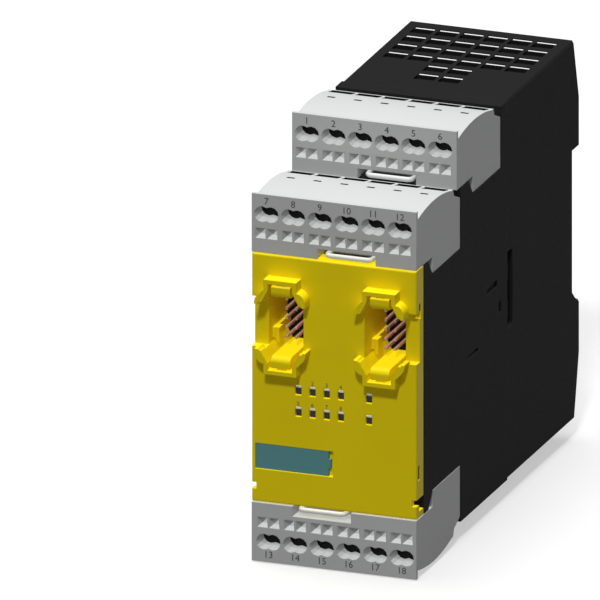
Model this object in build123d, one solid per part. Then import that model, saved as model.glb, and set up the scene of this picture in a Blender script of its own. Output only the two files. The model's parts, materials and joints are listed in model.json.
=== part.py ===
from build123d import *
from math import cos, radians, sin
import os

os.makedirs("parts", exist_ok=True)

# A safety expansion module for a control cabinet, clipped on a 35 mm mounting rail.
# Millimetres, +Z up, front towards -Y. The origin is the middle of the flat seat
# that bears on the rail. Depths are counted from the front face, heights from the lowest lip.

# Whole module
pole_count = 6
pole_pitch = 7.25
module_end_wall = 0.75
front_to_rail = 116.4
side_inset = 0.1
fit_gap = 0.3
seat_gap = 0.15
overlap = 0.2

# Terminal plugs, measured from the plug's own front face and its outer lip.
# A setback is counted forward from the plug's rear end.
plug_depth = 32.4
plug_front_height = 15.8
plug_lip_thickness = 1.0
plug_step = 2.2
plug_crown = 0.9
plug_crown_setback = 6.1
plug_crown_end_drop = 2.7
plug_nose_setback = 5.1
plug_nose_root_setback = 4.4
plug_nose_drop = 4.6
plug_hinge_radius = 0.8
plug_hinge_drop = 7.0
plug_leg_start = 12.1
plug_leg_drop = 4.4
plug_leg_width = 2.2
leg_slope_run = 3.2
entry_offset = -0.275
entry_diameter = 4.2
entry_sides = 12
entry_spacing = 2.4
entry_drop = 5.4
driver_width = 2.8
driver_height = 2.7
driver_throat = 1.4
driver_funnel_depth = 1.7
driver_web = 0.4
driver_rise = 5.2
chamber_start = 11.0
chamber_end_setback = 5.4
chamber_drop = 3.0
chamber_wall = 1.15
probe_slot_width = 2.1
probe_slot_length = 1.1
probe_slot_depth = 17.0
rear_window_setback = 8.8
rear_window_length = 3.4
rear_window_wall = 0.9
pull_slot_low = -4.6
pull_slot_width = 15.9
pull_slot_height = 2.7
pull_slot_depth = 6.5
pull_loop_width = 13.0
pull_loop_offset = 3.6
pull_loop_bar = 0.9
pull_loop_setback = 0.5
pull_loop_lift = 0.5

# Contacts inside and under the plugs
bus_bar_thickness = 0.8
bus_bar_under_wires = 2.6
bus_bar_gap = 2.4
bus_bar_side = 0.55
tine_thickness = 0.5
tine_lead = 0.2
spring_strip = 0.35
spring_loop_drop = 5.0
spring_loop_length = 4.0
spring_lip = 1.0
spring_width = 2.0
spring_spacing = 2.4
blade_thickness = 0.8
blade_width = 5.0
blade_start = 18.5
blade_engagement = 3.9
blade_tail = 0.9

# How far the rear plug sits behind and above the front one
plug_row_depth = 30.1
plug_row_rise = 12.0

# Housing shells. A setback is counted forward from the rearmost face.
shell_wall = 1.8
front_wall = 1.6
notch_wall = 1.0
shell_round = 0.6
cover_seam = 5.4
roof_collar = 4.7
base_height = 5.0
roof_drop = 3.8
rear_foot_setback = 3.7
rear_slope_setback = 2.6
rear_slope_height = 9.8
rear_flat_low = 22.3
lower_lip_setback = 2.0
lower_lip_drop = 3.9
lower_lip_slope = 1.0
rear_top_slope_drop = 16.2
roof_rear_setback = 4.1

# Recess for the mounting rail
rail_recess_depth = 5.1
rail_recess_low = 40.1
rail_recess_height = 37.5
rail_middle_rise = 18.6
rail_flange_room = 1.4
rail_hook_drop = 2.6
rail_hook_side = 6.5
rail_seat_relief = 0.4

# Snap windows at the seam between the shells
snap_window_depth = 4.0
snap_window_low = 45.4
snap_window_high = 66.7
snap_tongue_thickness = 1.3
snap_tongue_length = 3.4
snap_tongue_low = (48.3, 58.0)
snap_tongue_height = 4.2
snap_tongue_recess = 0.5
snap_root = 2.5

# Small moulded marks on the side walls: depth from, depth to, height from, height to
side_marks = ((52.3, 60.0, 59.7, 61.7), (61.0, 62.8, 52.1, 55.3), (38.0, 45.6, 46.9, 48.1))
side_mark_depth = 0.6

# Roof vents
vent_side_margin = 1.4
vent_web = 1.0
vent_rear_margin = 3.4
vent_front_margin = 7.8
vent_slot = 1.5
vent_bar = 0.4
vent_ramp = 3.3
vent_ramp_depth = 1.1
vent_rows = (6, 6, 6, 6, 2, 2)
vent_first_column_of_two = 2

# Pale screen under the vents
screen_thickness = 1.2
screen_ridge_drop = 0.3
screen_side_gap = 0.5
screen_margin = 3.0

# Front cover
cover_face = 1.8
cover_rim = 1.2
cover_depth = 5.2
cover_round = 0.5
cover_edge_notch_low = 19.5
cover_edge_notch_height = 1.8
cover_edge_notch_width = 1.3
cover_relief_low = 17.8
cover_relief_high = 21.3
cover_relief_depth = 2.0
upper_slit = (2.0, 3.4, 69.7, 73.8)
snap_slit = (1.3, 2.7, 26.3, 30.2)
snap_arm_thickness = 1.0
snap_nose = 0.7
snap_arm_trim = 0.25

# Bus sockets
socket_side = 9.05
socket_height = 64.8
socket_top_margin = 5.6
socket_half_width = 5.15
socket_flat_half = 6.5
socket_throat_half = 3.325
socket_throat_rise = 9.9
socket_half_height = 11.65
socket_wall = 1.15
socket_guide_reach = 3.65
socket_shroud_end = 16.4
tongue_half_width = 2.55
tongue_neck_half = 1.2
tongue_thickness = 1.7
tongue_round = 0.68
tongue_neck = 0.65
tongue_back = 8.0
tongue_setback = 0.5
key_rib_width = 1.8
key_rib_narrow = 0.9
key_rib_start = 5.2
key_rib_step = 8.0
key_rib_drop = 3.0
key_rib_height = 2.8
finger_notch_half = 6.8
finger_notch_depth = 2.6
finger_notch_floor = 1.4

# Pin headers behind the sockets
header_body_depth = 2.8
header_inset = 0.35
pin_pitch = 2.54
pin_size = 0.64
pin_rows = 5
pin_columns = 2
pin_tip = 5.0
pin_tail = 1.2

# Indicator windows and the light guide
window_width = 1.77
window_height = 2.7
window_first = -9.73
window_pitch = 3.847
window_group = 4
window_last = 9.46
window_drop = 17.4
window_row_pitch = 5.8
window_rows = 2
guide_gap = 0.12
guide_setback = 0.7
guide_plate_start = 8.6
guide_plate_thickness = 1.4
guide_plate_margin = 1.2
led_length = 1.6
led_width = 0.8
led_tall = 1.4

# Label plate
label_side = 1.2
label_width = 19.74
label_low = 25.1
label_height = 6.7
label_recess = 1.2
label_thickness = 1.0
label_gap = 0.12
label_tab = 0.6
label_tab_height = 2.4
label_recess_room = 1.25

# Circuit boards and the screws that hold them. Round parts inside the closed
# housing are prisms with this many sides.
rod_sides = 8
board_thickness = 1.6
board_clearance = 0.8
front_board_side = 1.1
front_board_top_gap = 1.7
front_board_low_gap = 3.4
side_board_gap = 3.1
side_board_low = 24.0
side_board_roof_gap = 3.7
step_clearance = 3.7
contact_board_gap = 1.3
contact_board_margin = 1.2
contact_board_start = 13.5
post_diameter = 5.0
post_side = 3.9
front_post_rise = 3.0
front_post_drop = 5.0
side_post_front = 9.2
side_post_rear = 7.8
side_post_rise = 10.0
side_post_drop = 12.0
screw_shank = 2.2
screw_head = 4.2
screw_head_height = 1.6
screw_bite = 5.0
plug_socket_post_gap = 3.0
plug_socket_header_gap = 0.45
plug_socket_side = 2.1
plug_socket_depth = 8.0
plug_socket_root = 3.0

# Relays
relay_depth = 12.6
relay_height = 28.5
relay_tall = 24.0
relay_pitch = 12.95
relay_rows = (25.5, 56.5)
relay_columns = 4
relay_edge = 0.6
relay_pin_tail = 0.8
relay_pin_size = 0.8
relay_pin_heights = (3.0, 9.0, 19.5, 25.5)

# Larger parts on the control board
chip_side = 12.0
chip_thickness = 1.4
chip_places = ((76.0, 46.0), (76.0, 66.0))
coupler_length = 4.6
coupler_width = 6.5
coupler_thickness = 2.0
coupler_pitch = 7.4
coupler_count = 6
coupler_place = (100.0, 26.0)
can_sides = 12
capacitor_diameter = 8.0
capacitor_length = 11.5
capacitor_places = ((34.0, 30.5), (34.0, 40.5), (34.0, 50.5))
transformer_depth = 15.0
transformer_height = 17.0
transformer_tall = 11.0
transformer_place = (47.0, 40.0)
transformer_flange = 1.6
transformer_core = 0.6
transformer_waist = 9.0
fuse_diameter = 5.2
fuse_length = 8.5
fuse_places = ((47.0, 58.0), (47.0, 66.0))

# Rail latch and its spring
latch_half_width = 8.9
latch_gap = 0.3
latch_inset = 0.5
latch_foot = 8.5
latch_back_inset = 0.4
latch_nose_rise = 2.8
latch_nose_inset = 1.6
latch_nose_chamfer = 1.6
latch_rail_width = 1.4
latch_rail_low = 12.0
latch_rail_high = 33.5
latch_rail_inset = 1.1
latch_rail_thickness = 1.2
latch_travel = 2.6
latch_channel_wall = 1.5
latch_eye_half_width = 3.5
latch_eye_low = 11.0
latch_eye_height = 3.0
spring_window_half = 2.4
spring_window_high = 33.0
spring_shelf_thickness = 1.6
spring_shelf_high = 21.4
spring_shelf_gap = 0.5
spring_shelf_setback = 1.3
coil_diameter = 3.4
coil_wire = 0.5
coil_turns = 5
coil_corners = 8
coil_setback = 2.6

# Values across the module
module_width = pole_count * pole_pitch + 2 * module_end_wall
half_width = module_width / 2
plug_half = half_width - side_inset
cavity_half = half_width - shell_wall
first_pole = -pole_pitch * (pole_count - 1) / 2
poles = [first_pole + pole_pitch * i for i in range(pole_count)]
leg_inner = plug_half - plug_leg_width
notch_inner = leg_inner - fit_gap
socket_centre = half_width - socket_side
socket_centres = (-socket_centre, socket_centre)
label_left = label_side - half_width
label_right = label_left + label_width
label_recess_right = label_right + label_recess_room
front_board_half_width = cavity_half - front_board_side
side_board_outer = cavity_half - side_board_gap
side_board_inner = side_board_outer - board_thickness
post_x = cavity_half - post_side
rail_hook_half_width = half_width - rail_hook_side
vent_columns = max(vent_rows)
vent_span = 2 * (cavity_half - vent_side_margin)
vent_length = (vent_span - (vent_columns - 1) * vent_web) / vent_columns
vent_pitch = vent_length + vent_web
screen_half_width = cavity_half - screen_side_gap
latch_rail_half_width = latch_half_width + latch_rail_width

window_columns = [window_first + window_pitch * i for i in range(window_group)] + [window_last]

# Heights, from the lowest lip up
cover_low = plug_front_height + fit_gap
label_high = label_low + label_height
window_heights = [socket_height - window_drop - window_row_pitch * i for i in range(window_rows)]
key_rib_top = socket_height - key_rib_drop
plug_socket_high = socket_height - pin_rows * pin_pitch / 2 - plug_socket_header_gap
cover_high = socket_height + socket_half_height + socket_wall + socket_top_margin
top_front_lip = cover_high + fit_gap + plug_front_height
top_rear_lip = top_front_lip + plug_row_rise
roof_height = top_rear_lip - roof_drop
rear_top_slope_height = roof_height - rear_top_slope_drop
base_to_rail = rail_recess_low + rail_middle_rise
rail_recess_high = rail_recess_low + rail_recess_height
lower_lip_height = rail_recess_low - lower_lip_drop
latch_nose_height = rail_recess_low + latch_nose_rise
side_board_high = roof_height - shell_wall - side_board_roof_gap

# Drops below the lip of a plug
hinge_depth = plug_depth - plug_hinge_radius
plug_crown_end = plug_depth - plug_crown_setback
plug_nose_start = plug_depth - plug_nose_setback
plug_nose_root = plug_depth - plug_nose_root_setback
chamber_end = plug_depth - chamber_end_setback
rear_window_start = plug_depth - rear_window_setback
plug_leg_reach = plug_front_height + plug_leg_drop
step_drop = plug_front_height + fit_gap
notch_drop = plug_leg_reach + fit_gap
driver_drop = plug_front_height - driver_rise
bus_bar_drop = entry_drop + bus_bar_under_wires
bus_bar_start = chamber_start + bus_bar_gap
contact_board_drop = step_drop + front_wall + contact_board_gap
tine_end_drop = plug_front_height - 1
blade_tip_drop = tine_end_drop - blade_engagement
contact_board_reach = contact_board_drop + board_thickness
front_board_low = contact_board_reach + front_board_low_gap
front_board_high = top_front_lip - contact_board_reach - front_board_top_gap
front_post_low = front_board_low + front_post_rise
plug_socket_low = front_post_low + plug_socket_post_gap

# Depths, from the front face back
overall_depth = front_to_rail + rail_recess_depth
rear_foot_depth = overall_depth - rear_foot_setback
rear_slope_depth = overall_depth - rear_slope_setback
lower_lip_depth = overall_depth - lower_lip_setback
roof_rear_depth = overall_depth - roof_rear_setback
roof_front = plug_row_depth + plug_depth + fit_gap
shell_seam = roof_front + roof_collar
front_board_front = socket_shroud_end + header_body_depth + seat_gap
front_board_back = front_board_front + board_thickness
guide_end = front_board_front - led_tall - seat_gap
side_board_front = front_board_back + plug_socket_root + seat_gap
side_board_rear = front_to_rail - shell_wall - board_clearance
relay_first_depth = side_board_rear - relay_depth - (relay_columns - 1) * relay_pitch
vent_first_row = roof_rear_depth - vent_rear_margin
vent_last_row = shell_seam + vent_front_margin + vent_ramp + vent_bar + vent_slot
vent_row_pitch = (vent_first_row - vent_last_row) / (len(vent_rows) - 1)
latch_front = front_to_rail + latch_inset
latch_nose_front = front_to_rail + latch_nose_inset
latch_rail_front = front_to_rail + latch_rail_inset
spring_shelf_back = overall_depth - spring_shelf_setback
coil_depth = overall_depth - coil_setback

# Places of the posts: across and height, then depth and height
front_post_places = (
    (-post_x, front_post_low),
    (post_x, front_post_low),
    (0.0, front_board_high - front_post_drop),
)
side_post_places = [
    (depth, height)
    for depth in (roof_front + side_post_front, side_board_rear - side_post_rear)
    for height in (base_height + side_post_rise, roof_height - side_post_drop)
]
seats = {
    "top_rear": (plug_row_depth, top_rear_lip, False),
    "top_front": (0.0, top_front_lip, False),
    "bottom": (0.0, 0.0, True),
}


def at_depth(depth):
    """Y of a depth counted from the front face."""
    return depth - front_to_rail


def at_height(height):
    """Z of a height counted from the lowest lip."""
    return height - base_to_rail


def brick(x_low, x_high, depth_low, depth_high, height_low, height_high):
    """A box between two places across, two depths and two heights."""
    box = Box(x_high - x_low, depth_high - depth_low, height_high - height_low)
    middle = ((x_low + x_high) / 2, (depth_low + depth_high) / 2, (height_low + height_high) / 2)
    return Pos(middle[0], at_depth(middle[1]), at_height(middle[2])) * box


def side_face(points):
    """A flat outline of (depth, height) points, standing in the middle of the module."""
    corners = [(at_depth(depth), at_height(height)) for depth, height in points]
    return Plane.YZ * make_face(Polyline(*corners, close=True))


def across(face, x_low, x_high):
    """A side outline carried straight across the module."""
    return Pos(x_low, 0, 0) * extrude(face, x_high - x_low)


def rod_back(x, height, diameter, depth_low, depth_high):
    """A round part as a many-sided rod that runs from the front towards the rear."""
    end = Plane(origin=(x, at_depth(depth_low), at_height(height)), x_dir=(1, 0, 0), z_dir=(0, 1, 0))
    return extrude(end * RegularPolygon(diameter / 2, rod_sides), depth_high - depth_low)


def rod_across(x_low, x_high, depth, height, diameter, sides=rod_sides):
    """A round part as a many-sided rod that runs across the module."""
    end = Plane(origin=(x_low, at_depth(depth), at_height(height)), x_dir=(0, 1, 0), z_dir=(1, 0, 0))
    return extrude(end * RegularPolygon(diameter / 2, sides), x_high - x_low)


def both_sides(shape):
    """The shape and its mirror image on the other side of the module."""
    return [shape, mirror(shape, Plane.YZ)]


def save(name, pieces):
    """Write one node, which is one solid or a group of separate solids."""
    solids = []
    for piece in pieces:
        solids.extend(piece.solids())
    shape = solids[0] if len(solids) == 1 else Compound(children=solids)
    export_step(shape, f"parts/{name}.step")


# Terminal plugs. Their own frame has X across, Y from the plug's front to its rear,
# and the outer lip at Z = 0 with the plug below it.

plug_front = Plane(origin=(0, 0, 0), x_dir=(1, 0, 0), z_dir=(0, 1, 0))


def plug_brick(x_low, x_high, depth_low, depth_high, drop_low, drop_high):
    """A box in the plug's own frame, between two drops below the outer lip."""
    box = Box(x_high - x_low, depth_high - depth_low, drop_high - drop_low)
    return Pos((x_low + x_high) / 2, (depth_low + depth_high) / 2, -(drop_low + drop_high) / 2) * box


def place_plug_piece(seat, piece):
    """Put a piece from the plug's own frame on one of the three seats."""
    front, lip, turned = seats[seat]
    turn = Rot(0, 180, 0) if turned else Rot(0, 0, 0)
    return Pos(0, at_depth(front), at_height(lip)) * turn * piece


def plug_outline():
    """Side outline: lip, crowned outer face, hooked nose and the rounded hinge corner."""
    lip_back = plug_lip_thickness
    crown_middle = (plug_crown_end + lip_back) / 2
    hinge = (hinge_depth, -plug_hinge_drop)
    front = Polyline(
        (plug_crown_end, -plug_crown_end_drop),
        (plug_nose_start, -plug_crown_end_drop),
        (plug_nose_root, -plug_nose_drop),
        (hinge_depth, hinge[1] + plug_hinge_radius),
    )
    corner = CenterArc(hinge, plug_hinge_radius, 0, 90)
    inner = Polyline(
        (plug_depth, hinge[1]),
        (plug_depth, -plug_front_height),
        (0, -plug_front_height),
        (0, 0),
        (lip_back, 0),
        (lip_back, -plug_step),
    )
    crown = ThreePointArc(
        (lip_back, -plug_step),
        (crown_middle, -plug_crown),
        (plug_crown_end, -plug_crown_end_drop),
    )
    return Plane.YZ * make_face([front, corner, inner, crown])


def plug_legs():
    """The two side legs that reach down into the notches of the housing."""
    root = plug_front_height - overlap
    leg = plug_brick(leg_inner, plug_half, plug_leg_start, plug_depth, root, plug_leg_reach)
    return both_sides(leg)


def wire_entry(x):
    """Two overlapping bores, close to round, that lead a pair of wires into the chamber."""
    bore = RegularPolygon(entry_diameter / 2, entry_sides)
    left = Pos(x - entry_spacing / 2, entry_drop) * bore
    right = Pos(x + entry_spacing / 2, entry_drop) * bore
    return extrude(plug_front * (left + right), chamber_start + overlap)


def driver_funnels(x):
    """Two square funnels side by side that guide a screwdriver to the clamp springs."""
    shift = (driver_width + driver_web) / 2
    side = (driver_width - driver_throat) / 2
    rise = (driver_height - driver_throat) / 2
    funnel = Wedge(
        driver_width,
        driver_funnel_depth,
        driver_height,
        side,
        rise,
        driver_width - side,
        driver_height - rise,
    )
    throat = Box(driver_throat, chamber_start + overlap, driver_throat)
    cuts = []
    for place in (x - shift, x + shift):
        cuts.append(Pos(place, driver_funnel_depth / 2, -driver_drop) * funnel)
        cuts.append(Pos(place, (chamber_start + overlap) / 2, -driver_drop) * throat)
    return cuts


def plug_chamber(x):
    """The space for one pole's springs and contact, open towards the housing."""
    half = (pole_pitch - chamber_wall) / 2
    open_end = plug_front_height + 1
    space = plug_brick(x - half, x + half, chamber_start, chamber_end, chamber_drop, open_end)
    slot_half = probe_slot_width / 2
    probe = plug_brick(
        x - slot_half,
        x + slot_half,
        probe_slot_depth,
        probe_slot_depth + probe_slot_length,
        -1,
        chamber_drop + 1,
    )
    window_half = (pole_pitch - rear_window_wall) / 2
    window_end = rear_window_start + rear_window_length
    window = plug_brick(
        x - window_half, x + window_half, rear_window_start, window_end, -1, chamber_drop + 1
    )
    return [space, probe, window]


def pull_loop():
    """The flexible loop in the slot at the inner edge, used to pull the plug out."""
    low = pull_loop_offset - pull_loop_width / 2
    high = pull_loop_offset + pull_loop_width / 2
    top = plug_front_height - pull_loop_lift - pull_loop_bar
    bottom = plug_front_height - pull_loop_lift
    ring = plug_brick(low, high, pull_loop_setback, pull_slot_depth + 1, top, bottom)
    ring = fillet(ring.edges().filter_by(Axis.Z).group_by(Axis.Y)[0], pull_loop_bar * 2)
    hole = plug_brick(
        low + pull_loop_bar,
        high - pull_loop_bar,
        pull_loop_setback + pull_loop_bar,
        pull_slot_depth,
        top - 1,
        bottom + 1,
    )
    return ring - fillet(hole.edges().filter_by(Axis.Z).group_by(Axis.Y)[0], pull_loop_bar)


def terminal_housing():
    """The moulded body of one terminal plug."""
    body = across(plug_outline(), -plug_half, plug_half)
    body = body + plug_legs()
    cuts = []
    for pole in poles:
        cuts.append(wire_entry(pole + entry_offset))
        cuts += driver_funnels(pole + entry_offset)
        cuts += plug_chamber(pole)
    slot = plug_brick(
        pull_slot_low,
        pull_slot_low + pull_slot_width,
        -1,
        pull_slot_depth,
        plug_front_height - pull_slot_height,
        plug_front_height + 1,
    )
    body = body - cuts - slot
    return body + pull_loop()


def clamp_spring(x):
    """One bent strip that wraps the contact bar and presses a wire against it."""
    top = -(entry_drop + spring_lip)
    under = -(bus_bar_drop + bus_bar_thickness + seat_gap + spring_strip)
    bottom = under - spring_loop_drop
    front = bus_bar_start - seat_gap - spring_strip
    path = Polyline(
        (front, top),
        (front, (under + bottom) / 2),
        (bus_bar_start + spring_lip, bottom),
        (bus_bar_start + spring_loop_length, (under + bottom) / 2),
        (bus_bar_start + spring_lip, under),
    )
    strip = make_face(offset(path, spring_strip, kind=Kind.INTERSECTION, side=Side.LEFT, closed=True))
    return Pos(x - spring_width / 2, 0, 0) * extrude(Plane.YZ * strip, spring_width)


def contact_bar(x):
    """One contact: a flat bar under the wires and two tines that grip the blade."""
    half = (pole_pitch - chamber_wall) / 2 - bus_bar_side
    tine_start = blade_start - tine_lead
    end = blade_start + blade_width
    bottom = bus_bar_drop + bus_bar_thickness
    bar = plug_brick(x - half, x + half, bus_bar_start, end, bus_bar_drop, bottom)
    inner = blade_thickness / 2 + seat_gap
    outer = inner + tine_thickness
    for low, high in ((x - outer, x - inner), (x + inner, x + outer)):
        bar = bar + plug_brick(low, high, tine_start, end, bottom - overlap, tine_end_drop)
    return bar


def plug_blade(x):
    """One fixed blade that stands in the housing under the plug."""
    half = blade_thickness / 2
    tail = contact_board_drop + board_thickness + blade_tail
    return plug_brick(x - half, x + half, blade_start, blade_start + blade_width, blade_tip_drop, tail)


def contact_board():
    """The small board that carries the six blades of one plug."""
    half = notch_inner - notch_wall - seat_gap
    end = plug_depth - front_wall - contact_board_margin
    board = plug_brick(
        -half, half, contact_board_start, end, contact_board_drop, contact_board_drop + board_thickness
    )
    hole_half = blade_thickness / 2
    for pole in poles:
        board = board - plug_brick(
            pole - hole_half,
            pole + hole_half,
            blade_start,
            blade_start + blade_width,
            contact_board_drop - 1,
            contact_board_drop + board_thickness + 1,
        )
    return board


def blade_slots():
    """Slots in the housing floor for the blades of one plug."""
    half = blade_thickness / 2 + seat_gap
    start = blade_start - seat_gap
    end = blade_start + blade_width + seat_gap
    return [
        plug_brick(pole - half, pole + half, start, end, step_drop - 1, step_drop + front_wall + 1)
        for pole in poles
    ]


# Housing shells

rear_outline = [
    (shell_seam, base_height),
    (rear_foot_depth, base_height),
    (rear_slope_depth, rear_slope_height),
    (overall_depth, rear_flat_low),
    (overall_depth, lower_lip_height),
    (lower_lip_depth, lower_lip_height + lower_lip_slope),
    (front_to_rail, rail_recess_low),
    (front_to_rail, rail_recess_high),
    (overall_depth, rail_recess_high),
    (overall_depth, rear_top_slope_height),
    (roof_rear_depth, roof_height),
    (shell_seam, roof_height),
]


def snap_windows():
    """Rounded windows in both side walls, where the tongues of the front shell show."""
    window = brick(
        cavity_half - 1,
        half_width + 1,
        shell_seam - 1,
        shell_seam + snap_window_depth,
        snap_window_low,
        snap_window_high,
    )
    rounded = fillet(window.edges().filter_by(Axis.X).group_by(Axis.Y)[-1], snap_window_depth / 3)
    return both_sides(rounded)


def roof_vents():
    """Rows of slots, each behind a small ramp that falls towards it."""
    cuts = []
    for row, count in enumerate(vent_rows):
        back = vent_first_row - row * vent_row_pitch
        front = back - vent_slot
        slot = [
            (back, roof_height + 1),
            (back, roof_height - shell_wall - 1),
            (front, roof_height - shell_wall - 1),
            (front, roof_height + 1),
        ]
        ramp_end = front - vent_bar
        ramp = [
            (ramp_end, roof_height + 1),
            (ramp_end, roof_height - vent_ramp_depth),
            (ramp_end - vent_ramp, roof_height),
            (ramp_end - vent_ramp, roof_height + 1),
        ]
        for left in vent_lefts(count):
            cuts.append(across(side_face(slot), left, left + vent_length))
            cuts.append(across(side_face(ramp), left, left + vent_length))
    return cuts


def vent_lefts(count):
    """Left ends of the vents in a row that holds this many."""
    widest = max(vent_rows)
    first = -((widest - 1) * vent_pitch + vent_length) / 2
    skipped = 0 if count == widest else vent_first_column_of_two
    return [first + (skipped + i) * vent_pitch for i in range(count)]


def seat_reliefs():
    """Shallow pockets that keep the flat rail seat clear of the hook and of the latch nose."""
    floor = front_to_rail - rail_seat_relief
    hook_half = rail_hook_half_width + fit_gap
    hook_low = rail_recess_high - rail_hook_drop - fit_gap
    latch_half = latch_half_width + latch_gap
    nose_high = latch_nose_height + latch_gap
    return [
        brick(-hook_half, hook_half, floor, front_to_rail + 1, hook_low, rail_recess_high),
        brick(-latch_half, latch_half, floor, front_to_rail + 1, rail_recess_low, nose_high),
    ]


def latch_channel():
    """The upright channel for the rail latch, with a groove in each side."""
    half = latch_half_width + latch_gap
    front = latch_front - latch_gap
    channel = brick(-half, half, front, overall_depth + 1, base_height - 1, rail_recess_low + 1)
    groove_half = latch_rail_half_width + latch_gap
    groove = brick(
        -groove_half,
        groove_half,
        latch_rail_front - latch_gap,
        latch_rail_front + latch_rail_thickness + latch_gap,
        latch_rail_low - latch_travel - latch_gap,
        latch_rail_high + latch_gap,
    )
    return [channel, groove]


def side_mark_cuts():
    """Shallow moulded marks in both side walls of the front shell."""
    cuts = []
    for depth_low, depth_high, height_low, height_high in side_marks:
        mark = brick(
            half_width - side_mark_depth, half_width + 1, depth_low, depth_high, height_low, height_high
        )
        cuts += both_sides(mark)
    return cuts


def side_posts():
    """Posts on the inside of the rear shell that carry the two upright boards."""
    posts = []
    for depth, height in side_post_places:
        end = cavity_half + overlap
        posts += both_sides(rod_across(side_board_outer, end, depth, height, post_diameter))
    return posts


def side_post_holes():
    """Pilot holes for the board screws in the posts of the rear shell."""
    holes = []
    for depth, height in side_post_places:
        holes += both_sides(rod_across(side_board_outer - 1, cavity_half, depth, height, screw_shank))
    return holes


def rear_housing():
    """Rear shell: rail seat, latch channel, roof vents and the posts for the boards."""
    face = side_face(rear_outline)
    shell = across(face, -half_width, half_width)
    edges = shell.edges().filter_by(Axis.X, reverse=True)
    sides = [edge for edge in edges if edge.center().Y > at_depth(shell_seam) + 1]
    shell = chamfer(sides, shell_round)
    cavity = across(offset(face, -shell_wall, kind=Kind.INTERSECTION), -cavity_half, cavity_half)
    mouth = brick(
        -cavity_half,
        cavity_half,
        shell_seam - 1,
        shell_seam + shell_wall + 1,
        base_height + shell_wall,
        roof_height - shell_wall,
    )
    keep_half = latch_rail_half_width + latch_gap + latch_channel_wall
    keep_front = latch_front - latch_gap - latch_channel_wall
    keep = brick(-keep_half, keep_half, keep_front, overall_depth, base_height, rail_recess_low)
    shell = shell - cavity - mouth + (keep & across(face, -half_width, half_width))
    shell = shell - latch_channel() - snap_windows() - roof_vents() - seat_reliefs()
    return shell + spring_shelf() + rail_hook() + side_posts() - side_post_holes()


def spring_shelf():
    """The shelf in the latch channel on which the latch spring stands."""
    half = spring_window_half - spring_shelf_gap
    front = latch_front - latch_gap - overlap
    low = spring_shelf_high - spring_shelf_thickness
    return brick(-half, half, front, spring_shelf_back, low, spring_shelf_high)


def rail_hook():
    """The fixed hook behind which the upper edge of the rail goes."""
    half = rail_hook_half_width
    front = front_to_rail + rail_flange_room
    low = rail_recess_high - rail_hook_drop
    hook = brick(-half, half, front, overall_depth, low, rail_recess_high + overlap)
    return chamfer(hook.edges().filter_by(Axis.X).group_by(Axis.Z)[0], rail_hook_drop / 2)


def stepped_outline(notched):
    """Side outline of the front shell; the notched one is lower where the plug legs go."""
    points = [(cover_seam, cover_low), (cover_seam, cover_high)]
    points += plug_step_points("top_front", notched)
    points += plug_step_points("top_rear", notched)
    points += [(roof_front, roof_height), (shell_seam, roof_height), (shell_seam, base_height)]
    low = plug_step_points("bottom", notched)
    low.reverse()
    points += [(plug_depth + fit_gap, base_height)] + low
    return points


def plug_step_points(seat, notched):
    """The outline under one plug, from its front to the wall behind it."""
    front, lip, turned = seats[seat]
    sign = 1 if turned else -1
    step = lip + sign * step_drop
    notch = lip + sign * notch_drop
    wall = front + plug_depth + fit_gap
    start = max(front, cover_seam)
    if seat == "top_rear":
        start = plug_depth + fit_gap
    points = [] if seat == "top_front" else [(start, step)]
    if notched:
        slope_end = front + plug_leg_start - fit_gap
        slope_start = slope_end - leg_slope_run
        points += [(slope_start, step), (slope_end, notch), (wall, notch)]
    else:
        points += [(wall, step)]
    return points


def snap_tongues():
    """Tongues that reach back into the windows of the rear shell."""
    pieces = []
    inner = cavity_half - snap_tongue_recess
    outer = inner + snap_tongue_thickness
    front = shell_seam - snap_root
    for low in snap_tongue_low:
        high = low + snap_tongue_height
        pieces += both_sides(brick(inner, outer, front, shell_seam + snap_tongue_length, low, high))
    return pieces


def cover_snaps():
    """Arms with small noses that hold the front cover at its lower side slits."""
    rim_inner = plug_half - cover_rim - seat_gap
    depth_low, depth_high, height_low, height_high = snap_slit
    low = height_low + snap_arm_trim
    high = height_high - snap_arm_trim
    front = cover_face + seat_gap
    arm = brick(rim_inner - snap_arm_thickness, rim_inner, front, cover_seam + overlap, low, high)
    nose_end = depth_high - snap_arm_trim
    nose = brick(rim_inner - overlap, rim_inner + snap_nose, front, nose_end, low, high)
    return both_sides(arm + nose)


def socket_outline(centre):
    """The opening of one bus socket as (across, height) points."""
    quarter = [
        (socket_half_width, socket_flat_half),
        (socket_throat_half, socket_throat_rise),
        (socket_throat_half, socket_half_height),
    ]
    right_up = [(centre + x, socket_height + z) for x, z in quarter]
    left_up = [(centre - x, socket_height + z) for x, z in reversed(quarter)]
    left_down = [(centre - x, socket_height - z) for x, z in quarter]
    right_down = [(centre + x, socket_height - z) for x, z in reversed(quarter)]
    return right_up + left_up + left_down + right_down


def front_prism(points, grow, depth_low, depth_high):
    """A straight prism that runs back from the front, its outline grown by a margin."""
    plane = Plane(origin=(0, at_depth(depth_low), 0), x_dir=(1, 0, 0), z_dir=(0, -1, 0))
    corners = [(x, at_height(height)) for x, height in points]
    outline = make_face(Polyline(*corners, close=True))
    if grow:
        outline = offset(outline, grow, kind=Kind.INTERSECTION)
    return extrude(plane * outline, -(depth_high - depth_low))


def window_cuts(grow, depth_low, depth_high):
    """The ten indicator windows, each grown by a margin."""
    cuts = []
    half_x = window_width / 2 + grow
    half_z = window_height / 2 + grow
    for x in window_columns:
        for height in window_heights:
            low, high = height - half_z, height + half_z
            cuts.append(brick(x - half_x, x + half_x, depth_low, depth_high, low, high))
    return cuts


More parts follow.
